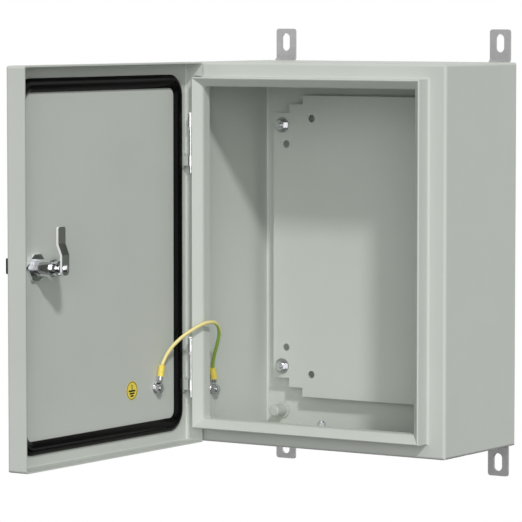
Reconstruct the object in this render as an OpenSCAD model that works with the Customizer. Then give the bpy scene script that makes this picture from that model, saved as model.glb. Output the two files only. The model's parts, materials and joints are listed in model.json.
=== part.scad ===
// Wall-mount sheet-steel cabinet with a hinged door, a gasketed front rim,
// a mounting plate, wall brackets and an earth lead between door and body.
// +Z up, the front faces -Y, +Y points into the wall. The origin is the centre
// of the wall-fixing slots, on the wall. The door is drawn as it stands open.

/* [Body] */
// Outside width of the body
body_w = 310; // [280:1:600]
// Outside height of the body
body_h = 400; // [380:1:900]
// Depth of the body, front flange to back wall
body_d = 147; // [135:1:250]
// Sheet thickness of body and door
sheet = 1.5; // [1.2:0.1:1.8]
// Outside radius of the folded edges
bend_r = 3; // [2.5:0.5:4]

/* [Front rim] */
// Flange width on the hinge side
rim_left = 13; // [12:0.5:16]
// Flange width on the lock side
rim_right = 20.5; // [18:0.5:26]
// Flange width at the top and the bottom
rim_ends = 15.5; // [14:0.5:24]
// Height of the rim in front of the flange
rim_h = 18.5; // [16:0.5:19]
// How far the rim leans in towards the opening
rim_in = 10; // [9:0.5:12]
// Radius of the rolled front edge
nose_r = 1.2; // [0.8:0.1:1.5]
// Radius of the bend between the slope and the lip
lip_r = 5; // [4:0.5:6]
// Radius of the fillet at the foot of the rim
foot_r = 2.5; // [1:0.5:2.5]
// Radius of the opening's inner corners
opening_r = 2.5; // [2:0.5:14]

/* [Door] */
// Depth of the door pan
door_depth = 23; // [22:0.5:26]
// Gap between the closed door and the flange
door_gap = 2; // [2:0.5:3]
// Angle at which the door stands open
door_open = 90; // [0:1:105]
// Width of the gasket
gasket_w = 14; // [8:0.5:14.5]
// Straight height of the gasket's base
gasket_base = 1.5; // [1:0.5:2]
// Clearance between the gasket and the closed rim
gasket_clear = 0.3; // [0.2:0.1:1]
// Corner radius of the gasket's centre line
gasket_r = 15; // [12:0.5:16]

/* [Hinges] */
// Distance of the hinge axis from the door's outer edge
hinge_in = 8.5; // [8:0.1:9]
// Distance of the hinge axis in front of the flange
hinge_out = 12.2; // [12:0.1:13]
// Distance of the upper hinge's middle from the top
hinge_top_in = 83; // [60:0.5:120]
// Distance of the lower hinge's middle from the bottom
hinge_bottom_in = 80.5; // [60:0.5:120]
// Spacing of the two knuckles of one hinge
knuckle_pitch = 41; // [34:1:48]
// Length of a knuckle
knuckle_h = 10.5; // [8:0.5:14]
// Outside radius of a knuckle
knuckle_r = 3; // [2.6:0.1:3.2]
// Radius of the hinge pin
pin_r = 1.6; // [1.2:0.1:1.8]
// Running clearance of the door's knuckle on the pin
pin_clear = 0.05; // [0.02:0.01:0.1]
// Thickness of the hinge leaves
leaf_t = 2; // [1.5:0.1:2.2]

/* [Lock] */
// Distance of the lock's axis from the rim's front edge
lock_gap = 23.5; // [23:0.5:40]
// Radius of the threaded barrel
barrel_r = 9; // [8:0.5:10]
// Length of the barrel behind the door sheet
barrel_l = 23; // [20:0.5:23]
// Width across flats of the lock nut
lock_nut_af = 26; // [20:0.5:26]
// Thickness of the lock nut
lock_nut_h = 3.5; // [3:0.5:9]
// Radius of the turning plug
plug_r = 6; // [5:0.1:6.5]
// Running clearance of the plug in the barrel
plug_clear = 0.05; // [0.02:0.01:0.1]
// Distance of the cam's face behind the door sheet
cam_out = 35.5; // [33:0.5:38]
// Thickness of the cam
cam_t = 2.5; // [1.5:0.1:3]
// Width of the cam
cam_w = 12; // [10:0.5:16]
// Clearance between the turned cam's tip and the side wall
cam_side_clear = 1; // [0.5:0.5:8]
// Clearance between the closed cam's tip and the flange
cam_clear = 6; // [3:0.1:7]
// How far the key stands out from the lock's head
key_out = 29.5; // [22:0.5:40]

/* [Mounting plate] */
// Gap between the plate's long edge and the side wall
plate_side_gap = 18.5; // [12:0.5:60]
// Gap between the plate's short edge and the top or bottom wall
plate_end_gap = 36; // [32:1:80]
// Distance of the plate from the back wall
plate_standoff = 14.5; // [10:0.5:40]
// Thickness of the plate
plate_t = 1.5; // [1.2:0.1:3]
// Height of one corner step
step_h = 9.6; // [6:0.1:12]
// Width of the outer corner step
step1_w = 20; // [14:0.5:24]
// Width of the inner corner step
step2_w = 17; // [10:0.5:22]
// Radius of the free holes in the plate
plate_hole_r = 4; // [2.5:0.1:5]

/* [Wall brackets] */
// Width of a bracket
bracket_w = 24; // [20:0.5:30]
// Thickness of a bracket
bracket_t = 2.5; // [2:0.1:4]
// Offset of the bracket's tab towards the wall
bracket_joggle = 3; // [2.8:0.1:6]
// Distance of the bracket's middle from the body's side
bracket_in = 22.5; // [20:0.5:40]
// Length of the tab beyond the body
tab_l = 34; // [32:0.5:40]
// Width of the wall slot
slot_w = 10; // [6:0.1:12]
// Length of the wall slot, end to end
slot_l = 18.8; // [14:0.1:20]
// Distance of the slot's middle beyond the body
slot_out = 19.5; // [18:0.5:21]
// Distance of the bracket's bolt from the body's end
bracket_bolt_in = 20; // [14:0.5:21]
// Radius of the bracket's bolt
bracket_bolt_r = 4; // [3:0.5:5]

/* [Gland plate] */
// Width of the cable opening in the floor
gland_w = 116; // [80:1:200]
// Depth of the cable opening in the floor
gland_d = 70; // [40:1:72]
// Border of the gland plate around the opening
gland_border = 16; // [14:0.5:20]
// Thickness of the gland gasket
gland_gasket_t = 2; // [1:0.5:4]
// Height of the gland studs above the floor
gland_stud_h = 13; // [12:0.5:16]

/* [Earth lead] */
// Distance of the door's earth stud from the hinge edge
door_stud_in = 57.5; // [40:0.5:80]
// Height of the door's earth stud above the door's lower edge
door_stud_up = 61; // [50:0.5:100]
// Distance of the body's earth stud behind the flange
wall_stud_back = 38; // [30:0.5:60]
// Height of the body's earth stud above the body's lower end
wall_stud_up = 51; // [40:0.5:100]
// Lean of the door's lug towards the hinge
door_lug_lean = 12; // [0:1:15]
// Lean of the body's lug towards the front
wall_lug_lean = 15; // [0:1:18]
// Radius of the lead
lead_r = 1.9; // [1.5:0.1:2.2]
// Length of the insulating sleeve on a lug
sleeve_l = 12; // [8:0.5:16]

/* [Hidden] */
$fn = 48;
s45 = sin(45);
hw = body_w / 2;
hh = body_h / 2;
// Flange plane of the body, seen from the wall
flange_y = -(body_d + bracket_joggle + bracket_t);
back_y = body_d - sheet;
door_front = door_gap + door_depth;
door_in = -door_front + sheet;
hinge_x = -hw + hinge_in;
hinge_y = -hinge_out;
hinge_z = [hh - hinge_top_in, hinge_bottom_in - hh];

// Rim outline and section
rim_x0 = -hw + rim_left;
rim_x1 = hw - rim_right;
rim_z = hh - rim_ends;
slope_k = -rim_h - nose_r * sqrt(2);
lip_v = rim_in + slope_k;
lip_tan = lip_r * tan(22.5);
lip_c = [rim_in - lip_r, lip_v + lip_tan];
lip_in = lip_r - sheet;
slope_in = slope_k + sheet * sqrt(2);

// Gasket section and path
gasket_h = -rim_h - door_in - gasket_clear;
gasket_arc = gasket_h - gasket_base;
gasket_crown = (pow(gasket_w / 2, 2) + pow(gasket_arc, 2)) / (2 * gasket_arc);
gasket_over = 2.5;
gasket_lock_in = 0.5;
gasket_mid = gasket_w / 2 - gasket_over;
gasket_x0 = rim_x0 + gasket_mid;
gasket_x1 = rim_x1 - gasket_lock_in;
gasket_z = rim_z - gasket_mid;

// Hinge side of the door: reliefs that let it swing in front of the body
swing_clear = 0.35;
swing_r = hinge_out - swing_clear;
relief_z = rim_z + 1;
leaf_foot_w = hinge_in - bend_r - 0.3;
leaf_foot_t = 1.8;
leaf_foot_h = knuckle_h + 5;
notch_h = leaf_foot_h + 3;
pin_head_r = 3;
pin_head_h = 2;
pin_head_gap = 1;
pin_tail = 7.5;

// Lock
lock_x = rim_x1 - lock_gap;
cam_reach = lock_gap + rim_right - sheet - cam_side_clear;
lock_head_r = barrel_r + 2.5;
lock_head_t = 3;
barrel_flat = barrel_r - 0.6;
collar_r = 7.5;
collar_t = 3.7;
collar_gap = 3.4;
collar_well_r = 6.3;
collar_well = 2;
neck_r = 4.2;
cam_y = door_in + cam_out;
cam_tip_y = sheet + cam_clear;
cam_back = cam_w / 2 + 0.5;
cam_bend0 = 13;
cam_bend1 = 24;
cam_bend_step = 0.6;
cam_corner_r = 2.5;
cam_heel_r = 5;
cam_bolt_l = 8;
cam_bolt_r = 2;
cam_head_r = 3.5;
cam_head_h = 2.4;
bow_w = 16;
bow_l = 20;
bow_t = 5;
bow_corner_r = 1.5;
bow_hole_in = 5;
bow_hole_r = 2.2;
blade_w = 7;
blade_t = 2;

// Mounting plate
plate_hw = hw - sheet - plate_side_gap;
plate_hh = hh - sheet - plate_end_gap;
plate_y = back_y - plate_standoff - plate_t;
stud_r = 3;
stud_clear = 0.3;
stud_tip = 9;
stud_in = [11.5, 32];
hole_a_in = [48.5, 24.5];
hole_b_in = [16.5, 52.5];
stud_x = plate_hw - stud_in.x;
stud_z = plate_hh - stud_in.y;
hole_a = [plate_hw, plate_hh] - hole_a_in;
hole_b = [plate_hw, plate_hh] - hole_b_in;
washer_r = 8.2;
washer_t = 1.6;
m6_af = 10;
m6_h = 5;
spacer_r = 5;

// Wall brackets
bracket_x = hw - bracket_in;
bracket_root = 15;
bracket_corner_r = 3;
bolt_hole_r = bracket_bolt_r + 0.2;
bolt_head_t = bracket_joggle - 0.5;
bolt_head_r = 7;
bolt_in_l = 14;
cap_r = 6.2;
cap_l = 20;
cap_flange_r = 8.6;
cap_flange_t = 2;
cap_round = 2;

// Gland plate
gland_back = 1.5;
gland_y = body_d / 2 + gland_back;
gland_r = 4;
gland_stud_r = 2.5;
gland_stud_x = gland_w / 2 + gland_border / 2;
gland_stud_y = gland_d / 2 + gland_border / 2;
gland_nut_af = 8;
gland_nut_h = 8;

// Earth lugs
lug_t = 1.5;
lug_ring_r = 5.5;
lug_rise = 4.5;
lug_barrel_r = 2.2;
lug_barrel_z = [8, 16];
sleeve_z = 12;
sleeve_r = 3.4;
earth_washer_t = 1.2;
earth_washer_r = 6;
earth_stud_l = 8;
earth_nut_h = 4;

// Route of the lead between its sleeves, measured in from the body's left side,
// back from the flange and up from the body's lower end
ROUTE = [
    [4.2, -50.6, 95.4], [8.5, -44.4, 105], [14.5, -35.8, 113.8], [20.5, -28, 120],
    [26, -20, 125], [30, -12, 127.3], [32, -3, 126.6], [31, 5.5, 121.5],
    [28, 11.8, 113.5], [22, 17.5, 102.8], [15.5, 22.4, 92.5], [9.7, 27.4, 82.5]
];
sleeve_end = sleeve_z + sleeve_l;
LEAD = concat([door_lug_at(sleeve_end)],
              [for (p = ROUTE) [p.x - hw, p.y + flange_y, p.z - hh]],
              [wall_lug_at(sleeve_end)]);
LEAD_SIDES = 8;
LEAD_STEPS = 2;

PAINT = [0.78, 0.80, 0.77];
ZINC = [0.75, 0.76, 0.78];
STEEL = [0.62, 0.63, 0.65];
CHROME = [0.85, 0.86, 0.88];
DARK_STEEL = [0.35, 0.36, 0.37];
BLACK = [0.05, 0.05, 0.05];
YELLOW = [0.95, 0.83, 0.30];
LEAD_GREEN = [0.62, 0.70, 0.25];

// Rounded rectangle with true arcs, given by its two corners
module round_rect(x0, y0, x1, y1, r) {
    translate([x0 + r, y0]) square([x1 - x0 - 2 * r, y1 - y0]);
    translate([x0, y0 + r]) square([x1 - x0, y1 - y0 - 2 * r]);
    for (x = [x0 + r, x1 - r], y = [y0 + r, y1 - r])
        translate([x, y]) circle(r);
}

// Prisms of a flat shape along Y, given in X and Z, and along X, given in Y and Z
module along_y(y0, y1) {
    translate([0, y1, 0]) rotate([90, 0, 0]) linear_extrude(y1 - y0) children();
}
module along_x(x0, x1) {
    translate([x0, 0, 0]) rotate([90, 0, 90]) linear_extrude(x1 - x0) children();
}

// Box between two corners with every edge folded to the radius r
module folded_box(a, b, r) {
    intersection() {
        along_y(a.y, b.y) round_rect(a.x, a.z, b.x, b.z, r);
        along_x(a.x, b.x) round_rect(a.y, a.z, b.y, b.z, r);
        translate([0, 0, a.z]) linear_extrude(b.z - a.z)
            round_rect(a.x, a.y, b.x, b.y, r);
    }
}

// Cylinder along Y from y0 to y1
module rod_y(y0, y1, r) {
    translate([0, y1, 0]) rotate([90, 0, 0]) cylinder(h = y1 - y0, r = r);
}

// Hexagonal nut with a bore, standing on the origin along +Z
module hex_nut(af, h, bore_r) {
    difference() {
        intersection() {
            rotate(30) cylinder(h = h, r = af / sqrt(3), $fn = 6);
            nut_crown(af, h);
        }
        translate([0, 0, -1]) cylinder(h = h + 2, r = bore_r);
    }
}

// Turned shape that takes the corners off a nut
module nut_crown(af, h) {
    rotate_extrude()
        polygon([[0, 0], [af * 0.52, 0], [af * 0.58, h * 0.12],
                 [af * 0.58, h * 0.88], [af * 0.52, h], [0, h]]);
}

// Flat ring standing on the origin along +Z
module ring(r_out, r_in, h) {
    difference() {
        cylinder(h = h, r = r_out);
        translate([0, 0, -1]) cylinder(h = h + 2, r = r_in);
    }
}

// Placing: the body's front flange, and the door swung about its hinge
module at_flange() { translate([0, flange_y, 0]) children(); }
module on_door() {
    at_flange() translate([hinge_x, hinge_y, 0]) rotate(-door_open)
        translate([-hinge_x, -hinge_y, 0]) children();
}
// The lock's axis, which points into the cabinet when the door is closed
module on_lock() { on_door() translate([lock_x, 0, 0]) children(); }
module at_plate_studs() {
    at_flange() for (x = [-stud_x, stud_x], z = [-stud_z, stud_z])
        translate([x, 0, z]) children();
}
module at_bracket_bolts() {
    at_flange() for (x = [-bracket_x, bracket_x], s = [-1, 1])
        translate([x, 0, s * (hh - bracket_bolt_in)]) children();
}
module at_gland_studs() {
    at_flange() for (x = [-gland_stud_x, gland_stud_x], y = [-gland_stud_y, gland_stud_y])
        translate([x, gland_y + y, -hh + sheet]) children();
}

// Section of the rim, where u runs in from its outer face and v back from the
// flange: all that lies outside the slope and the lip, and the hollow behind them
module rim_section() {
    translate([nose_r, nose_r - rim_h]) circle(nose_r);
    translate(lip_c) circle(lip_r);
    polygon([
        [0, sheet], [0, nose_r - rim_h],
        [nose_r * (1 + s45), nose_r * (1 - s45) - rim_h],
        [rim_in - lip_tan * s45, lip_v - lip_tan * s45],
        [rim_in, lip_c.y], [rim_in, sheet]
    ]);
}
module rim_hollow() {
    translate(lip_c) circle(lip_in);
    polygon([
        [sheet, sheet + 1], [sheet, sheet + slope_in],
        [lip_c.x + lip_in * s45, lip_c.y - lip_in * s45],
        [rim_in - sheet, lip_c.y], [rim_in - sheet, sheet + 1]
    ]);
}
module rim_fillet() {
    difference() {
        translate([-foot_r, -foot_r]) square(foot_r + sheet / 2);
        translate([-foot_r, -foot_r]) circle(foot_r);
    }
}

// Plans across the opening from a to b: the block in front of the flange, the
// way in between the slopes and lips, and what lies between and round the hollows
module both_sides(a, b) {
    translate([a, 0]) children();
    translate([b, 0]) mirror([1, 0]) children();
}
module rim_block(a, b) {
    translate([a, nose_r - rim_h]) square([b - a, rim_h - nose_r + sheet]);
    translate([a + nose_r, -rim_h]) square([b - a - 2 * nose_r, 2 * nose_r]);
    both_sides(a, b) {
        translate([nose_r, nose_r - rim_h]) circle(nose_r);
        rim_fillet();
    }
}
module rim_way_in(a, b) {
    difference() {
        translate([a + nose_r, -rim_h - 1]) square([b - a - 2 * nose_r, rim_h + sheet + 2]);
        both_sides(a, b) rim_section();
    }
}
module rim_not_hollow(a, b) {
    difference() {
        translate([a, -rim_h - 1]) square([b - a, rim_h + sheet + 2]);
        both_sides(a, b) rim_hollow();
    }
}
module rim_inside_wall(a, b) {
    translate([a + sheet, sheet + slope_in])
        square([b - a - 2 * sheet, 1 - slope_in]);
}

// What two plans, one across and one up the opening, have in common
module crossed() {
    intersection() {
        linear_extrude(body_h, center = true) children(0);
        rotate([0, -90, 0]) linear_extrude(body_w, center = true) children(1);
    }
}

// Web that rounds an inner corner of the opening
module rim_corner() {
    along_y(lip_c.y, sheet) difference() {
        translate([-sheet / 2, -sheet / 2]) square(opening_r + sheet / 2);
        translate([opening_r, opening_r]) circle(opening_r);
    }
}

module rim() {
    difference() {
        crossed() { rim_block(rim_x0, rim_x1); rim_block(-rim_z, rim_z); }
        crossed() { rim_way_in(rim_x0, rim_x1); rim_way_in(-rim_z, rim_z); }
        difference() {
            crossed() { rim_inside_wall(rim_x0, rim_x1); rim_inside_wall(-rim_z, rim_z); }
            crossed() { rim_not_hollow(rim_x0, rim_x1); rim_not_hollow(-rim_z, rim_z); }
        }
    }
    for (z = [0, 1], x = [0, 1])
        translate([x ? rim_x1 - rim_in : rim_x0 + rim_in, 0,
                   z ? rim_z - rim_in : rim_in - rim_z])
            mirror([x, 0, 0]) mirror([0, 0, z]) rim_corner();
}

module body_shell() {
    color(PAINT) difference() {
        at_flange() union() {
            difference() {
                folded_box([-hw, 0, -hh], [hw, body_d, hh], bend_r);
                folded_box([-hw + sheet, sheet, -hh + sheet],
                           [hw - sheet, back_y, hh - sheet], bend_r - sheet);
                along_y(-1, sheet + 1) translate([rim_x0 + sheet, sheet - rim_z])
                    square([rim_x1 - rim_x0 - 2 * sheet, 2 * (rim_z - sheet)]);
            }
            rim();
        }
        at_bracket_bolts() rod_y(back_y - 1, body_d + 1, bolt_hole_r);
        at_flange() translate([0, gland_y, -hh - 1]) linear_extrude(sheet + 2)
            gland_outline(0);
    }
}

// Mounting plate with two steps at each corner
module plate_outline() {
    square([2 * plate_hw, 2 * (plate_hh - 2 * step_h)], center = true);
    square([2 * (plate_hw - step1_w), 2 * (plate_hh - step_h)], center = true);
    square([2 * (plate_hw - step1_w - step2_w), 2 * plate_hh], center = true);
}
module mounting_plate() {
    color(PAINT) at_flange() difference() {
        along_y(plate_y, plate_y + plate_t) plate_outline();
        for (h = [hole_a, hole_b], x = [-1, 1], z = [-1, 1])
            translate([x * h.x, 0, z * h.y])
                rod_y(plate_y - 1, plate_y + plate_t + 1, plate_hole_r);
        for (x = [-stud_x, stud_x], z = [-stud_z, stud_z])
            translate([x, 0, z])
                rod_y(plate_y - 1, plate_y + plate_t + 1, stud_r + stud_clear);
    }
}
module plate_studs() {
    color(ZINC) at_plate_studs() {
        rod_y(plate_y - stud_tip, back_y, stud_r);
    }
}
module plate_spacers() {
    color(ZINC) at_plate_studs() translate([0, back_y, 0]) rotate([90, 0, 0])
        ring(spacer_r, stud_r + stud_clear, plate_standoff);
}
module plate_washers() {
    color(ZINC) at_plate_studs() translate([0, plate_y, 0]) rotate([90, 0, 0])
        ring(washer_r, stud_r + stud_clear, washer_t);
}
module plate_nuts() {
    color(ZINC) at_plate_studs() translate([0, plate_y - washer_t, 0])
        rotate([90, 0, 0]) hex_nut(m6_af, m6_h, stud_r);
}

// Wall bracket above the body's middle: a strip stepped back to the wall
module bracket_side() {
    y0 = body_d;
    y1 = body_d + bracket_joggle;
    z0 = hh - bracket_bolt_in - bracket_root;
    polygon([
        [y0, z0], [y0, hh], [y1, hh + bracket_joggle], [y1, hh + tab_l],
        [y1 + bracket_t, hh + tab_l],
        [y1 + bracket_t, hh + bracket_joggle - bracket_t * tan(22.5)],
        [y0 + bracket_t, hh - bracket_t * tan(22.5)], [y0 + bracket_t, z0]
    ]);
}
module wall_slot() {
    run = slot_l - slot_w;
    square([slot_w, run], center = true);
    for (z = [-run / 2, run / 2]) translate([0, z]) circle(slot_w / 2);
}
module bracket(x, flip) {
    z0 = hh - bracket_bolt_in - bracket_root;
    color(ZINC) at_flange() mirror([0, 0, flip]) translate([x, 0, 0]) difference() {
        intersection() {
            along_x(-bracket_w / 2, bracket_w / 2) bracket_side();
            along_y(body_d - 1, body_d + bracket_joggle + bracket_t + 1)
                round_rect(-bracket_w / 2, z0, bracket_w / 2, hh + tab_l, bracket_corner_r);
        }
        along_y(body_d, body_d + bracket_joggle + bracket_t + 1)
            translate([0, hh + slot_out]) wall_slot();
        translate([0, 0, hh - bracket_bolt_in])
            rod_y(body_d - 1, body_d + bracket_t + 1, bolt_hole_r);
    }
}
module bracket_top_left() { bracket(-bracket_x, 0); }
module bracket_top_right() { bracket(bracket_x, 0); }
module bracket_bottom_left() { bracket(-bracket_x, 1); }
module bracket_bottom_right() { bracket(bracket_x, 1); }
module bracket_bolts() {
    color(ZINC) at_bracket_bolts() {
        rod_y(back_y - bolt_in_l, body_d + bracket_t + 0.1, bracket_bolt_r);
        rod_y(body_d + bracket_t, body_d + bracket_t + bolt_head_t, bolt_head_r);
    }
}
// Flanged cap screwed on the end of a bracket bolt, inside the cabinet
module bracket_caps() {
    color(PAINT) at_bracket_bolts() translate([0, back_y, 0]) rotate([90, 0, 0])
        rotate_extrude() difference() {
            union() {
                square([cap_flange_r, cap_flange_t]);
                square([cap_r, cap_l - cap_round]);
                square([cap_r - cap_round, cap_l]);
                translate([cap_r - cap_round, cap_l - cap_round]) circle(cap_round);
            }
            translate([-1, -1]) square([bracket_bolt_r + 1, bolt_in_l + 1]);
            translate([-cap_r, 0]) square([cap_r, cap_l]);
        }
}

// Gland plate over the cable opening in the floor
module gland_outline(border) {
    r = gland_r + border / 2;
    round_rect(-gland_w / 2 - border, -gland_d / 2 - border,
               gland_w / 2 + border, gland_d / 2 + border, r);
}
module gland_holes(r) {
    for (x = [-gland_stud_x, gland_stud_x], y = [-gland_stud_y, gland_stud_y])
        translate([x, y]) circle(r);
}
module gland_gasket() {
    color(BLACK) at_flange() translate([0, gland_y, -hh + sheet])
        linear_extrude(gland_gasket_t) difference() {
            gland_outline(gland_border);
            gland_outline(0);
            gland_holes(gland_stud_r + stud_clear);
        }
}
module gland_plate() {
    color(PAINT) at_flange() translate([0, gland_y, -hh + sheet + gland_gasket_t])
        linear_extrude(sheet) difference() {
            gland_outline(gland_border);
            gland_holes(gland_stud_r + stud_clear);
        }
}
module gland_studs() {
    color(ZINC) at_gland_studs() cylinder(h = gland_stud_h, r = gland_stud_r);
}
module gland_nuts() {
    color(ZINC) at_gland_studs() translate([0, 0, gland_gasket_t + sheet])
        hex_nut(gland_nut_af, gland_nut_h, gland_stud_r);
}

// Hinges: the body's knuckle is above, the door's below, one pin runs through both
module knuckle(z, bore_r) {
    translate([hinge_x, hinge_y, z]) difference() {
        children();
        translate([0, 0, -knuckle_h]) cylinder(h = 2 * knuckle_h, r = bore_r);
    }
}
module hinge_leaf(z, base_y, bore_r) {
    span = abs(base_y - hinge_y);
    behind = base_y > hinge_y;
    knuckle(z, bore_r) union() {
        translate([0, 0, -knuckle_h / 2]) cylinder(h = knuckle_h, r = knuckle_r);
        mirror([0, behind ? 0 : 1, 0]) {
            translate([-leaf_t / 2, 0, -knuckle_h / 2]) cube([leaf_t, span, knuckle_h]);
            translate([-leaf_foot_w, span - leaf_foot_t, -leaf_foot_h / 2])
                cube([leaf_foot_w + leaf_t / 2, leaf_foot_t, leaf_foot_h]);
        }
    }
}
module body_leaf(i) {
    color(ZINC) at_flange()
        hinge_leaf(hinge_z[i] + knuckle_pitch / 2, 0, pin_r);
}
module door_leaf(i) {
    color(ZINC) on_door()
        hinge_leaf(hinge_z[i] - knuckle_pitch / 2, door_in, pin_r + pin_clear);
}
module hinge_pin(i) {
    top = hinge_z[i] + knuckle_pitch / 2 + knuckle_h / 2 + pin_head_gap;
    tail = hinge_z[i] - knuckle_pitch / 2 - knuckle_h / 2 - pin_tail;
    color(ZINC) at_flange() translate([hinge_x, hinge_y, 0]) {
        translate([0, 0, tail]) cylinder(h = top - tail + 0.1, r = pin_r);
        translate([0, 0, top]) cylinder(h = pin_head_h, r = pin_head_r);
    }
}
module hinge_body_leaf_upper() { body_leaf(0); }
module hinge_body_leaf_lower() { body_leaf(1); }
module hinge_door_leaf_upper() { door_leaf(0); }
module hinge_door_leaf_lower() { door_leaf(1); }
module hinge_pin_upper() { hinge_pin(0); }
module hinge_pin_lower() { hinge_pin(1); }

// Door: a folded pan, relieved along its hinge edge so that it can swing
module door_panel() {
    color(PAINT) on_door() difference() {
        folded_box([-hw, -door_front, -hh], [hw, door_front, hh], bend_r);
        folded_box([-hw + sheet, door_in, -hh + sheet],
                   [hw - sheet, 2 * door_front, hh - sheet], bend_r - sheet);
        translate([-hw - 1, -door_gap, -hh - 1])
            cube([body_w + 2, 2 * door_front, body_h + 2]);
        door_hinge_relief();
        translate([lock_x, 0, 0])
            rod_y(-door_front - 1, door_in + 1, barrel_r + 0.2);
    }
}
module door_hinge_relief() {
    edge = -hw - 1;
    across = sheet + bend_r;
    translate([edge, hinge_y, -relief_z]) cube([across, door_front, 2 * relief_z]);
    for (z = hinge_z)
        translate([edge, door_in + bend_r, z + knuckle_pitch / 2 - notch_h / 2])
            cube([across, door_front, notch_h]);
    translate([hinge_x, hinge_y, -hh - 1]) linear_extrude(body_h + 2) difference() {
        translate([edge - hinge_x, 0]) square([hinge_x - edge, hinge_out]);
        circle(swing_r);
    }
}

// Foamed gasket on the door, with a domed section
module gasket_section() {
    intersection() {
        translate([-gasket_w / 2, 0]) square([gasket_w, gasket_h + 1]);
        translate([0, gasket_h - gasket_crown]) circle(gasket_crown, $fn = 96);
    }
}
module door_gasket() {
    cx = [gasket_x0 + gasket_r, gasket_x1 - gasket_r];
    cz = [gasket_r - gasket_z, gasket_z - gasket_r];
    color(BLACK) on_door() translate([0, door_in, 0]) {
        for (z = [-gasket_z, gasket_z]) along_gasket_x(cx[0], cx[1], z);
        for (x = [gasket_x0, gasket_x1]) along_gasket_z(cz[0], cz[1], x);
        for (i = [0, 1], j = [0, 1])
            translate([cx[i], 0, cz[j]]) rotate([-90, 0, 0])
                rotate(i ? (j ? 270 : 0) : (j ? 180 : 90))
                    rotate_extrude(angle = 90) translate([gasket_r, 0]) gasket_section();
    }
}
module along_gasket_x(x0, x1, z) {
    translate([x0, 0, z]) rotate([90, 0, 90]) rotate(-90)
        linear_extrude(x1 - x0) gasket_section();
}
module along_gasket_z(z0, z1, x) {
    translate([x, 0, z0]) linear_extrude(z1 - z0) gasket_section();
}

// Cam lock
module lock_barrel() {
    color(CHROME) on_lock() difference() {
        union() {
            rod_y(-door_front - lock_head_t, -door_front, lock_head_r);
            rod_y(-door_front - 0.1, door_in + barrel_l, barrel_r);
        }
        for (s = [-1, 1])
            translate([0, door_in + barrel_l / 2 + lock_nut_h, s * (barrel_flat + barrel_r)])
                cube([4 * barrel_r, barrel_l, 2 * barrel_r], center = true);
        rod_y(-door_front - lock_head_t - 1, door_in + barrel_l + 1, plug_r + plug_clear);
    }
}
module lock_nut() {
    color(CHROME) on_lock() translate([0, door_in, 0]) rotate([-90, 30, 0])
        hex_nut(lock_nut_af, lock_nut_h, barrel_r);
}
module lock_plug() {
    end = door_in + barrel_l + collar_gap;
    color(CHROME) on_lock() difference() {
        union() {
            rod_y(-door_front - lock_head_t, end + 0.1, plug_r);
            difference() {
                rod_y(end, end + collar_t, collar_r);
                rod_y(end + collar_t - collar_well, end + collar_t + 1, collar_well_r);
            }
            rod_y(end + 0.1, cam_y, neck_r);
        }
        translate([0, -door_front - lock_head_t, 0])
            cube([blade_t, 2 * (lock_head_t + barrel_l), blade_w], center = true);
        rod_y(cam_y - cam_bolt_l - 1, cam_y + 1, cam_bolt_r);
    }
}
module cam_side() {
    tip = cam_tip_y;
    polygon([
        [cam_y, -cam_back], [cam_y, cam_bend0], [tip, cam_bend1], [tip, cam_reach],
        [tip + cam_t, cam_reach], [tip + cam_t, cam_bend1 + cam_bend_step],
        [cam_y + cam_t, cam_bend0 + cam_bend_step], [cam_y + cam_t, -cam_back]
    ]);
}
module lock_cam() {
    color(DARK_STEEL) on_lock() difference() {
        intersection() {
            along_x(-cam_w, cam_w) cam_side();
            along_y(cam_tip_y - 1, cam_y + cam_t + 1) {
                round_rect(-cam_w / 2, 0, cam_w / 2, cam_reach, cam_corner_r);
                round_rect(-cam_w / 2, -cam_back, cam_w / 2, cam_bend0, cam_heel_r);
            }
        }
        rod_y(cam_y - 1, cam_y + cam_t + 1, cam_bolt_r + 0.2);
    }
}
module lock_cam_bolt() {
    color(ZINC) on_lock() {
        rod_y(cam_y - cam_bolt_l, cam_y + cam_t + 0.1, cam_bolt_r);
        translate([0, cam_y + cam_t, 0]) rotate([-90, 0, 0]) rotate_extrude()
            polygon([[0, 0], [cam_head_r, 0], [cam_head_r, cam_head_h * 0.4],
                     [cam_head_r * 0.6, cam_head_h], [0, cam_head_h]]);
    }
}
// Key left in the lock, with a moulded bow
module lock_key_blade() {
    y0 = -door_front - lock_head_t;
    color(STEEL) on_lock() translate([-blade_t / 2, y0 - key_out + bow_l, -blade_w / 2])
        cube([blade_t, key_out - bow_l + lock_head_t + barrel_l - 1, blade_w]);
}
module lock_key_bow() {
    y0 = -door_front - lock_head_t - key_out;
    color(BLACK) on_lock() along_x(-bow_t / 2, bow_t / 2) difference() {
        round_rect(y0, -bow_w / 2, y0 + bow_l, bow_w / 2, bow_corner_r);
        translate([y0 + bow_hole_in, 0]) circle(bow_hole_r);
    }
}

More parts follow.
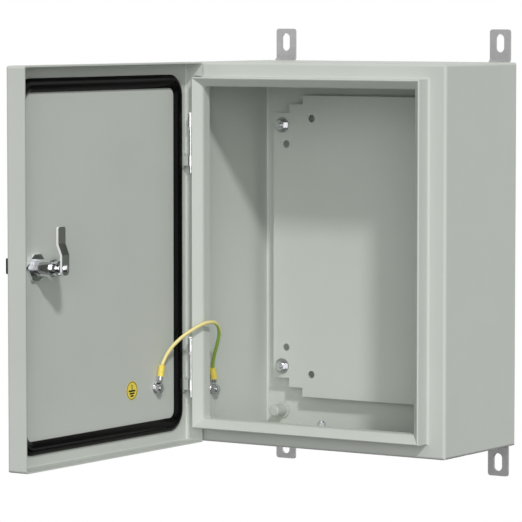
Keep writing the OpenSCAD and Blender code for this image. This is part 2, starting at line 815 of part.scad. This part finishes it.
// Earth stud, lug and sleeve on a wall: +Z off the wall, the lead leaves along +Y
module earth_stud() { cylinder(h = earth_stud_l, r = stud_r); }
module earth_washer() { ring(earth_washer_r, stud_r + stud_clear, earth_washer_t); }
module earth_lug() {
    translate([0, 0, earth_washer_t]) difference() {
        union() {
            cylinder(h = lug_t, r = lug_ring_r);
            translate([-lug_barrel_r, 0, 0])
                cube([2 * lug_barrel_r, sleeve_z, lug_t]);
            translate([0, lug_barrel_z[0], lug_rise - earth_washer_t]) rotate([-90, 0, 0])
                cylinder(h = lug_barrel_z[1] - lug_barrel_z[0], r = lug_barrel_r);
        }
        translate([0, 0, -1]) cylinder(h = lug_t + 2, r = stud_r + stud_clear);
    }
}
module earth_nut() {
    translate([0, 0, earth_washer_t + lug_t]) hex_nut(m6_af, earth_nut_h, stud_r);
}
module lead_sleeve() {
    translate([0, sleeve_z, lug_rise]) rotate([-90, 0, 0]) difference() {
        cylinder(h = sleeve_l, r = sleeve_r);
        translate([0, 0, -1]) cylinder(h = lug_barrel_z[1] - sleeve_z + 1, r = lug_barrel_r);
    }
}
module on_door_stud() {
    on_door() translate([-hw + door_stud_in, door_in, door_stud_up - hh])
        rotate([-90, 0, 0]) rotate(180 - door_lug_lean) children();
}
module on_wall_stud() {
    at_flange() translate([-hw + sheet, wall_stud_back, wall_stud_up - hh])
        rotate([90, 0, 90]) rotate(wall_lug_lean) children();
}
module wall_earth_stud() { color(ZINC) on_wall_stud() earth_stud(); }
module wall_earth_washer() { color(ZINC) on_wall_stud() earth_washer(); }
module wall_earth_lug() { color(ZINC) on_wall_stud() earth_lug(); }
module wall_earth_nut() { color(ZINC) on_wall_stud() earth_nut(); }
module wall_lead_sleeve() { color(YELLOW) on_wall_stud() lead_sleeve(); }
module door_earth_stud() { color(ZINC) on_door_stud() earth_stud(); }
module door_earth_washer() { color(ZINC) on_door_stud() earth_washer(); }
module door_earth_lug() { color(ZINC) on_door_stud() earth_lug(); }
module door_earth_nut() { color(ZINC) on_door_stud() earth_nut(); }
module door_lead_sleeve() { color(YELLOW) on_door_stud() lead_sleeve(); }

// Points along the axes of the two lugs, s from the stud
function door_lug_at(s) =
    let (x = door_stud_in - hinge_in - s * sin(door_lug_lean),
         y = door_in + lug_rise - hinge_y)
    [hinge_x + x * cos(door_open) + y * sin(door_open),
     flange_y + hinge_y - x * sin(door_open) + y * cos(door_open),
     door_stud_up - hh + s * cos(door_lug_lean)];
function wall_lug_at(s) =
    [sheet + lug_rise - hw, flange_y + wall_stud_back - s * sin(wall_lug_lean),
     wall_stud_up - hh + s * cos(wall_lug_lean)];

// Earth lead: a tube swept along its route, smoothed between the points
function unit(v) = v / norm(v);
function clamp_at(p, i) = p[max(0, min(len(p) - 1, i))];
function bend(a, b, c, d, t) =
    (2 * b + (c - a) * t + (2 * a - 5 * b + 4 * c - d) * t * t
     + (3 * b - a - 3 * c + d) * t * t * t) / 2;
function smooth(p, n) = [
    for (i = [0 : len(p) - 2], k = [0 : n - 1])
        bend(clamp_at(p, i - 1), p[i], p[i + 1], clamp_at(p, i + 2), k / n),
    p[len(p) - 1]
];
function heading(p, i) =
    i == 0 ? door_lug_at(1) - door_lug_at(0)
    : i == len(p) - 1 ? wall_lug_at(0) - wall_lug_at(1)
    : unit(p[i + 1] - p[i - 1]);
function lead_ring(c, t, r, n) =
    let (u = unit(cross(t, [1, -0.6, 0])), v = cross(t, u))
    [for (k = [0 : n - 1]) c + r * (cos(360 * k / n) * u + sin(360 * k / n) * v)];
module swept_tube(p, r, n) {
    m = len(p);
    points = [for (i = [0 : m - 1]) each lead_ring(p[i], heading(p, i), r, n)];
    sides = [for (i = [0 : m - 2], k = [0 : n - 1])
        let (a = i * n + k, b = i * n + (k + 1) % n)
        each [[a, a + n, b], [b, a + n, b + n]]];
    ends = [[for (k = [0 : n - 1]) k],
            [for (k = [n - 1 : -1 : 0]) (m - 1) * n + k]];
    polyhedron(points = points, faces = concat(sides, ends));
}
module earth_lead() {
    color(LEAD_GREEN) swept_tube(smooth(LEAD, LEAD_STEPS), lead_r, LEAD_SIDES);
}

body_shell();
mounting_plate();
plate_studs();
plate_spacers();
plate_washers();
plate_nuts();
bracket_top_left();
bracket_top_right();
bracket_bottom_left();
bracket_bottom_right();
bracket_bolts();
bracket_caps();
gland_plate();
gland_gasket();
gland_studs();
gland_nuts();
hinge_body_leaf_upper();
hinge_body_leaf_lower();
hinge_pin_upper();
hinge_pin_lower();
wall_earth_stud();
wall_earth_washer();
wall_earth_lug();
wall_earth_nut();
wall_lead_sleeve();
earth_lead();
door_panel();
door_gasket();
hinge_door_leaf_upper();
hinge_door_leaf_lower();
door_earth_stud();
door_earth_washer();
door_earth_lug();
door_earth_nut();
door_lead_sleeve();
lock_barrel();
lock_nut();
lock_plug();
lock_cam();
lock_cam_bolt();
lock_key_blade();
lock_key_bow();
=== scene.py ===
"""Looks of a wall-mount steel cabinet with an open door, dressed over its CAD frame."""

import json
import math

import bmesh
import bpy
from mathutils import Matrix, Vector


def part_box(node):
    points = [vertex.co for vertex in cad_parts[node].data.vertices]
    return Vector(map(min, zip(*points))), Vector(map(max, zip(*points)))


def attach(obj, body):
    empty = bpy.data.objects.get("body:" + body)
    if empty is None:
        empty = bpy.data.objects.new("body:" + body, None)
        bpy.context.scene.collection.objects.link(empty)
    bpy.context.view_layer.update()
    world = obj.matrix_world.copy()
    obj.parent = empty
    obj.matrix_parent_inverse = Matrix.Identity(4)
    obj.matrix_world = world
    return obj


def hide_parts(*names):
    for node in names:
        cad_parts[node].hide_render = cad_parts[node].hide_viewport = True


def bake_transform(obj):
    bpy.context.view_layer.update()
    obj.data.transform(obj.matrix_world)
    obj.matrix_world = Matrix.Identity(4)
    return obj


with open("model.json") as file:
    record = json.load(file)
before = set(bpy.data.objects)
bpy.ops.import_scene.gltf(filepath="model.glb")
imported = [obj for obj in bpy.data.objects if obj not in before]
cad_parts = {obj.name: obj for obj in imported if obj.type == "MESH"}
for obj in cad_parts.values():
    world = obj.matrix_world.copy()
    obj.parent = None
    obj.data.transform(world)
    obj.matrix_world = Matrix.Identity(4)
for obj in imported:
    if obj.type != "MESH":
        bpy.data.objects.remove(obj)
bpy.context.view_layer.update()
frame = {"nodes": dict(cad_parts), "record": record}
nodes = frame["nodes"]
MM = 0.001

# Camera: its place, heading and tilt down, its lens and sensor in millimetres, and how far it sees
CAMERA_AT = (1.8878, -3.1424, 0.2536)
CAMERA_YAW = math.radians(33.1715)
CAMERA_TILT = math.radians(4.1642)
CAMERA_LENS = 237.28
CAMERA_SENSOR = 36
CAMERA_REACH = 50

# Lights: the way towards each lamp, its strength and its apparent size
KEY = ((0.552, -0.563, 0.614), 1.45, math.radians(5))
FILL = ((0.47, -0.87, 0.12), 0.98, math.radians(36))
BACK = ((-0.56, 0.75, -0.36), 0.9, math.radians(30))
# Light from all round, and how much it gains towards the top and loses towards the bottom
AMBIENT = 0.28
SKY = 0.20
# Dark card under the object: its middle and half its width
FLAG_AT = (0, -0.3, -0.62)
FLAG_HALF = 1.2

# Route of the earth lead, from the door's sleeve to the body's sleeve, in millimetres
LEAD = [
    (-153.3, -208.71, -115.52), (-150.8, -203.1, -104.6), (-146.5, -196.9, -95),
    (-140.5, -188.3, -86.2), (-134.5, -180.5, -80), (-129, -172.5, -75),
    (-125, -164.5, -72.7), (-123, -155.5, -73.4), (-124, -147, -78.5),
    (-127, -140.7, -86.5), (-133, -135, -97.2), (-139.5, -130.1, -107.5),
    (-145.3, -125.1, -117.5), (-149, -120.71, -125.82),
]
LEAD_R = 1.9 * MM
# Its sides, the steps between two points of its route and the way its first side looks
LEAD_SIDES = 24
LEAD_STEPS = 6
LEAD_ACROSS = Vector((1, -0.6, 0))
# Its green stripe, counted in sides: where it starts, its winding and its width
STRIPE_START, STRIPE_TWIST, STRIPE_WIDTH = 16, 10, 9

# Axis of the hinges, seen from above, and the reach of the bare zinc round it
pin_low, pin_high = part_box("hinge_pin_upper")
HINGE_AT = ((pin_low.x + pin_high.x) / 2, (pin_low.y + pin_high.y) / 2, 0)
BARE_R = 3.3 * MM

# Earth sign on the door's inside: its middle and its radius
SIGN_AT = (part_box("door_earth_washer")[0].x, -256.6 * MM, -138 * MM)
SIGN_R = 10 * MM
# Lower and upper side of its film and of its print, off the door
FILM = (0.01 * MM, 0.10 * MM)
PRINT = (0.09 * MM, 0.16 * MM)
# Its symbol in shares of the radius: both edges of the ring, half the width, foot and top of the
# stem, half the height of a bar, and the level and half the width of each bar
SIGN_RING = (0.93, 0.86)
STEM_HALF, STEM_FOOT, STEM_TOP = 0.06, 0.06, 0.62
BAR_HALF = 0.085
BARS = ((-0.04, 0.58), (-0.30, 0.42), (-0.56, 0.28))
SIGN_SIDES = 64

# Colours
PAINT = (0.590, 0.621, 0.577)
ZINC = (0.74, 0.75, 0.77)
HINGE_ZINC = (0.90, 0.91, 0.92)
CHROME = (0.86, 0.87, 0.89)
EARTH = (0.58, 0.58, 0.60)

# Span that most of a noise lies in, and the wave texture's period at scale 1
NOISE_LOW, NOISE_HIGH = 0.3, 0.7
WAVE_PERIOD = math.pi / 10
# Least share of X in the normal of a rolled strip's face; what has less is an edge, which gets a
# painted highlight
FACE_SHARE = 0.5


class Shader:
    """A material built from nodes around one Principled shader."""

    def __init__(self, name):
        self.material = bpy.data.materials.new(name)
        self.material.use_nodes = True
        self.tree = self.material.node_tree
        self.bsdf = self.tree.nodes["Principled BSDF"]
        coordinates = self.tree.nodes.new("ShaderNodeTexCoord")
        self.place = coordinates.outputs["Object"]
        self.facing = coordinates.outputs["Normal"]

    def node(self, kind, **settings):
        made = self.tree.nodes.new(kind)
        for key, value in settings.items():
            setattr(made, key, value)
        return made

    def link(self, source, target):
        self.tree.links.new(source, target)

    def fix(self, name, value):
        self.bsdf.inputs[name].default_value = value

    def noise(self, scale, detail=2.0):
        made = self.node("ShaderNodeTexNoise")
        made.inputs["Scale"].default_value = scale
        made.inputs["Detail"].default_value = detail
        self.link(self.place, made.inputs["Vector"])
        return made.outputs["Fac"]

    def ramp(self, value, low, high):
        """A colour between two, led by a noise or a mask."""
        made = self.node("ShaderNodeValToRGB")
        stops = ((NOISE_LOW, low), (NOISE_HIGH, high))
        for element, (at, colour) in zip(made.color_ramp.elements, stops):
            element.position = at
            element.color = (*colour, 1)
        self.link(value, made.inputs["Fac"])
        return made.outputs["Color"]

    def spread(self, value, low, high):
        """A number between two, led by a noise or a mask."""
        made = self.node("ShaderNodeMapRange")
        made.inputs["From Min"].default_value = NOISE_LOW
        made.inputs["From Max"].default_value = NOISE_HIGH
        made.inputs["To Min"].default_value = low
        made.inputs["To Max"].default_value = high
        self.link(value, made.inputs["Value"])
        return made.outputs["Result"]

    def mask(self, operation, value, limit):
        made = self.node("ShaderNodeMath", operation=operation)
        made.inputs[1].default_value = limit
        self.link(value, made.inputs[0])
        return made.outputs["Value"]

    def part_metal(self, mask, plain, metal):
        """Two finishes, each a colour and a roughness: metal where the mask is 1."""
        self.colour(self.ramp(mask, plain[0], metal[0]))
        self.link(mask, self.bsdf.inputs["Metallic"])
        self.roughness(self.spread(mask, plain[1], metal[1]))

    def bump(self, height, distance, strength=1.0, under=None):
        made = self.node("ShaderNodeBump")
        made.inputs["Strength"].default_value = strength
        made.inputs["Distance"].default_value = distance
        self.link(height, made.inputs["Height"])
        if under:
            self.link(under, made.inputs["Normal"])
        return made.outputs["Normal"]

    def thread(self, axis, pitch, depth, under):
        """Rings of a screw thread along an axis, their depth a share of the pitch."""
        made = self.node("ShaderNodeTexWave", bands_direction=axis, wave_profile="TRI")
        made.inputs["Scale"].default_value = WAVE_PERIOD / pitch
        self.link(self.place, made.inputs["Vector"])
        return self.bump(made.outputs["Fac"], depth * pitch, 1.0, under)

    def colour(self, socket):
        self.link(socket, self.bsdf.inputs["Base Color"])

    def roughness(self, socket):
        self.link(socket, self.bsdf.inputs["Roughness"])

    def normal(self, socket):
        self.link(socket, self.bsdf.inputs["Normal"])


def shade(colour, factor):
    return tuple(c * factor for c in colour)


def powder_coat(name, colour, texture):
    """Powder coat: a nearly even colour with a fine, shallow orange peel."""
    shader = Shader(name)
    patch = shader.noise(14, 3)
    shader.colour(shader.ramp(patch, shade(colour, 0.985), shade(colour, 1.015)))
    shader.roughness(shader.spread(shader.noise(300), 0.44, 0.54))
    peel = shader.bump(shader.noise(520, 2), texture * MM)
    shader.normal(shader.bump(shader.noise(160, 1), 0.05 * MM, 0.5, peel))
    return shader.material


def plated(name, colour, rough, mottle, thread=None):
    """Plated metal: a soft mottle in its colour and its gloss."""
    shader = Shader(name)
    shader.fix("Metallic", 1.0)
    cloud = shader.noise(260, 4)
    shader.colour(shader.ramp(cloud, shade(colour, 1 - mottle), shade(colour, 1 + mottle)))
    shader.roughness(shader.spread(shader.noise(900, 3), rough * 0.8, rough * 1.25))
    grain = shader.bump(shader.noise(1500, 2), 0.01 * MM, 0.6)
    shader.normal(shader.thread(*thread, grain) if thread else grain)
    return shader.material


def foam(name):
    """Foamed seal: a black skin with fine pores and a slow waviness."""
    shader = Shader(name)
    shader.colour(shader.ramp(shader.noise(700, 3), (0.001, 0.001, 0.001), (0.003, 0.003, 0.003)))
    shader.fix("Specular IOR Level", 0.1)
    shader.roughness(shader.spread(shader.noise(400), 0.17, 0.25))
    wave = shader.bump(shader.noise(60, 1), 0.15 * MM, 0.5)
    shader.normal(shader.bump(shader.noise(1800, 3), 0.01 * MM, 0.6, wave))
    return shader.material


def vinyl(name, colour, rough, gloss=0.5):
    """Soft moulded plastic with a faint grain."""
    shader = Shader(name)
    shader.fix("Specular IOR Level", gloss)
    shader.colour(shader.ramp(shader.noise(500, 2), shade(colour, 0.96), shade(colour, 1.04)))
    shader.roughness(shader.spread(shader.noise(900), rough - 0.05, rough + 0.05))
    shader.normal(shader.bump(shader.noise(1600, 2), 0.012 * MM, 0.5))
    return shader.material


def painted_leaf(name):
    """Hinge leaf painted with the door, but bare zinc at its knuckle."""
    shader = Shader(name)
    plan = shader.node("ShaderNodeVectorMath", operation="MULTIPLY")
    plan.inputs[1].default_value = (1, 1, 0)
    shader.link(shader.place, plan.inputs[0])
    away = shader.node("ShaderNodeVectorMath", operation="DISTANCE")
    away.inputs[1].default_value = HINGE_AT
    shader.link(plan.outputs["Vector"], away.inputs[0])
    bare = shader.mask("LESS_THAN", away.outputs["Value"], BARE_R)
    shader.part_metal(bare, (PAINT, 0.49), (HINGE_ZINC, 0.42))
    return shader.material


def painted_edge_highlight(name, colour, edge_highlight_colour, rough):
    """Bright rolled strip whose faces look along X; its edges get a pale, matte colour that is a
    painted highlight.
    """
    shader = Shader(name)
    way = shader.node("ShaderNodeSeparateXYZ")
    shader.link(shader.facing, way.inputs["Vector"])
    face = shader.node("ShaderNodeMath", operation="ABSOLUTE")
    shader.link(way.outputs["X"], face.inputs[0])
    flat = shader.mask("GREATER_THAN", face.outputs["Value"], FACE_SHARE)
    # The edges' pale, non-metal colour is a painted highlight
    shader.part_metal(flat, (edge_highlight_colour, 0.4), (colour, rough))
    shader.normal(shader.bump(shader.noise(900, 2), 0.004 * MM, 0.5))
    return shader.material


paint = powder_coat("paint", PAINT, 0.035)
plate_paint = powder_coat("plate_paint", shade(PAINT, 0.98), 0.015)
cap_grey = powder_coat("cap_grey", shade(PAINT, 0.9), 0.01)
zinc = plated("zinc", ZINC, 0.24, 0.05)
hinge_zinc = plated("hinge_zinc", HINGE_ZINC, 0.42, 0.03)
hinge_leaf = painted_leaf("hinge_leaf")
bracket_zinc = plated("bracket_zinc", (0.43, 0.43, 0.43), 0.42, 0.05)
earth_zinc = plated("earth_zinc", EARTH, 0.18, 0.05)
chrome = plated("lock_chrome", CHROME, 0.09, 0.02)
# The cam's edges are painted pale: a painted highlight
cam_steel = painted_edge_highlight("cam_steel", (0.75, 0.75, 0.75), (0.95, 0.95, 0.95), 0.16)
key_steel = plated("key_steel", (0.66, 0.66, 0.68), 0.28, 0.04)
black_foam = foam("foam")
sleeve_yellow = vinyl("sleeve_yellow", (0.86, 0.69, 0.11), 0.42)
lead_yellow = vinyl("lead_yellow", (0.84, 0.73, 0.30), 0.38)
lead_green = vinyl("lead_green", (0.30, 0.49, 0.08), 0.38)
sign_yellow = vinyl("sign_yellow", (0.94, 0.77, 0.10), 0.40)
key_black = vinyl("key_black", (0.006, 0.006, 0.006), 0.4, 0.1)

SLOT_MATERIAL = {
    "paint": paint, "plate_paint": plate_paint, "cap_grey": cap_grey, "zinc": zinc,
    "bracket_zinc": bracket_zinc, "earth_zinc": earth_zinc, "lock_chrome": chrome,
    "cam_steel": cam_steel, "foam": black_foam, "sleeve_yellow": sleeve_yellow,
    "lead_insulation": lead_yellow, "key_steel": key_steel, "key_black": key_black,
}
OWN_MATERIAL = {
    "plate_washers": plated("washer_zinc", (0.44, 0.44, 0.45), 0.30, 0.05),
    "plate_studs": plated("stud_thread", ZINC, 0.24, 0.05, ("Y", 1.0 * MM, 0.3)),
    "gland_studs": plated("gland_thread", ZINC, 0.24, 0.05, ("Z", 0.8 * MM, 0.3)),
    "door_earth_stud": plated("earth_thread", EARTH, 0.18, 0.05, ("X", 1.0 * MM, 0.3)),
    "lock_barrel": plated("barrel_thread", CHROME, 0.12, 0.02, ("X", 1.0 * MM, 0.09)),
}
for level in ("upper", "lower"):
    OWN_MATERIAL["hinge_body_leaf_" + level] = hinge_zinc
    OWN_MATERIAL["hinge_pin_" + level] = hinge_zinc
    OWN_MATERIAL["hinge_door_leaf_" + level] = hinge_leaf
OWN_MATERIAL["wall_earth_stud"] = OWN_MATERIAL["door_earth_stud"]


def dress_frame():
    """Every CAD node gets its slot's material, and a few nodes their own."""
    for part in frame["record"]["subparts"]:
        name = part["node"]
        slots = nodes[name].data.materials
        slots.clear()
        slots.append(OWN_MATERIAL.get(name) or SLOT_MATERIAL[part["material_slot"]])


def as_object(name, mesh, *materials):
    data = bpy.data.meshes.new(name)
    mesh.to_mesh(data)
    mesh.free()
    for material in materials:
        data.materials.append(material)
    made = bpy.data.objects.new(name, data)
    bpy.context.collection.objects.link(made)
    return made


def smoothed(points, steps):
    """Points of a Catmull-Rom curve through the given ones."""
    fine = []
    for i in range(len(points) - 1):
        a, b, c, d = (points[min(max(k, 0), len(points) - 1)] for k in range(i - 1, i + 3))
        for k in range(steps):
            t = k / steps
            fine.append((2 * b + (c - a) * t + (2 * a - 5 * b + 4 * c - d) * t ** 2
                         + (3 * b - a - 3 * c + d) * t ** 3) / 2)
    return fine + [points[-1]]


def add_lead():
    """Earth lead: a tube with a green stripe that winds slowly round it."""
    path = smoothed([Vector(p) * MM for p in LEAD], LEAD_STEPS)
    mesh = bmesh.new()
    rings = []
    across = LEAD_ACROSS
    for i, at in enumerate(path):
        ahead = (path[min(i + 1, len(path) - 1)] - path[max(i - 1, 0)]).normalized()
        across = (across - ahead * across.dot(ahead)).normalized()
        up = ahead.cross(across)
        rings.append([mesh.verts.new(at + LEAD_R * (math.cos(a) * across + math.sin(a) * up))
                      for a in (2 * math.pi * k / LEAD_SIDES for k in range(LEAD_SIDES))])
    for i in range(len(rings) - 1):
        turn = round(STRIPE_START + STRIPE_TWIST * i / len(rings))
        for k in range(LEAD_SIDES):
            n = (k + 1) % LEAD_SIDES
            face = mesh.faces.new((rings[i][k], rings[i][n], rings[i + 1][n], rings[i + 1][k]))
            face.smooth = True
            face.material_index = int((k + turn) % LEAD_SIDES < STRIPE_WIDTH)
    mesh.faces.new(reversed(rings[0]))
    mesh.faces.new(rings[-1])
    bmesh.ops.recalc_face_normals(mesh, faces=mesh.faces)
    lead = as_object("earth_lead_striped", mesh, lead_yellow, lead_green)
    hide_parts("earth_lead")
    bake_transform(lead)


def add_sign():
    """Round earth sign: a thin film on the door's inner face, with its print raised a hair."""
    mesh = bmesh.new()

    def loop(points, lift):
        return [mesh.verts.new((lift, y * SIGN_R, z * SIGN_R)) for y, z in points]

    def wall(a, b, index):
        for k in range(len(a)):
            n = (k + 1) % len(a)
            mesh.faces.new((a[k], a[n], b[n], b[k])).material_index = index

    def slab(points, low, high, index):
        under, over = loop(points, low), loop(points, high)
        wall(under, over, index)
        for cap in (under[::-1], over):
            mesh.faces.new(cap).material_index = index

    def band(outer, inner, low, high, index):
        loops = [loop(outer, low), loop(outer, high), loop(inner, high), loop(inner, low)]
        for a, b in zip(loops, loops[1:] + loops[:1]):
            wall(a, b, index)

    def circle(r):
        return [(r * math.cos(a), r * math.sin(a))
                for a in (2 * math.pi * k / SIGN_SIDES for k in range(SIGN_SIDES))]

    def bar(y0, z0, y1, z1):
        slab([(y0, z0), (y1, z0), (y1, z1), (y0, z1)], *PRINT, 1)

    slab(circle(1), *FILM, 0)
    band(*(circle(r) for r in SIGN_RING), *PRINT, 1)
    bar(-STEM_HALF, STEM_FOOT, STEM_HALF, STEM_TOP)
    for level, half in BARS:
        bar(-half, level - BAR_HALF, half, level + BAR_HALF)
    bmesh.ops.recalc_face_normals(mesh, faces=mesh.faces)
    sign = as_object("earth_sign", mesh, sign_yellow, key_black)
    sign.location = SIGN_AT
    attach(sign, "door")


def add_camera():
    data = bpy.data.cameras.new("camera")
    data.sensor_width = CAMERA_SENSOR
    data.lens = CAMERA_LENS
    data.clip_end = CAMERA_REACH
    camera = bpy.data.objects.new("camera", data)
    camera.location = CAMERA_AT
    camera.rotation_euler = (math.pi / 2 - CAMERA_TILT, 0, CAMERA_YAW)
    bpy.context.collection.objects.link(camera)
    bpy.context.scene.camera = camera


def add_sun(name, towards, strength, size):
    data = bpy.data.lights.new(name, "SUN")
    data.energy = strength
    data.angle = size
    lamp = bpy.data.objects.new(name, data)
    lamp.rotation_euler = Vector(towards).to_track_quat("Z", "Y").to_euler()
    bpy.context.collection.objects.link(lamp)


def add_flag():
    """Dark card under the object that only reflections see, as under a studio table."""
    mesh = bmesh.new()
    bmesh.ops.create_grid(mesh, x_segments=1, y_segments=1, size=FLAG_HALF)
    flag = as_object("flag", mesh, vinyl("flag_black", (0.01, 0.01, 0.01), 0.9))
    flag.location = FLAG_AT
    flag.visible_camera = False
    flag.visible_diffuse = False
    flag.visible_shadow = False


def add_world():
    """White where the camera, gloss or glass sees it; as light, a grey that is brighter above."""
    world = bpy.data.worlds.new("studio")
    bpy.context.scene.world = world
    world.use_nodes = True
    tree = world.node_tree
    background = tree.nodes["Background"]
    background.inputs["Color"].default_value = (1, 1, 1, 1)
    seen = tree.nodes.new("ShaderNodeLightPath")
    direct = seen.outputs["Is Camera Ray"]
    for ray in ("Is Glossy Ray", "Is Transmission Ray"):
        either = tree.nodes.new("ShaderNodeMath")
        either.operation = "MAXIMUM"
        tree.links.new(direct, either.inputs[0])
        tree.links.new(seen.outputs[ray], either.inputs[1])
        direct = either.outputs["Value"]
    way = tree.nodes.new("ShaderNodeSeparateXYZ")
    tree.links.new(tree.nodes.new("ShaderNodeTexCoord").outputs["Generated"], way.inputs["Vector"])
    sky = tree.nodes.new("ShaderNodeMath")
    sky.operation = "MULTIPLY_ADD"
    sky.inputs[1].default_value = SKY
    sky.inputs[2].default_value = AMBIENT
    tree.links.new(way.outputs["Z"], sky.inputs[0])
    strength = tree.nodes.new("ShaderNodeMapRange")
    strength.inputs["To Max"].default_value = 1.0
    tree.links.new(direct, strength.inputs["Value"])
    tree.links.new(sky.outputs["Value"], strength.inputs["To Min"])
    tree.links.new(strength.outputs["Result"], background.inputs["Strength"])


dress_frame()
add_lead()
add_sign()
add_camera()
add_sun("key", *KEY)
add_sun("fill", *FILL)
add_sun("back", *BACK)
add_flag()
add_world()
bpy.context.scene.view_settings.view_transform = "Standard"
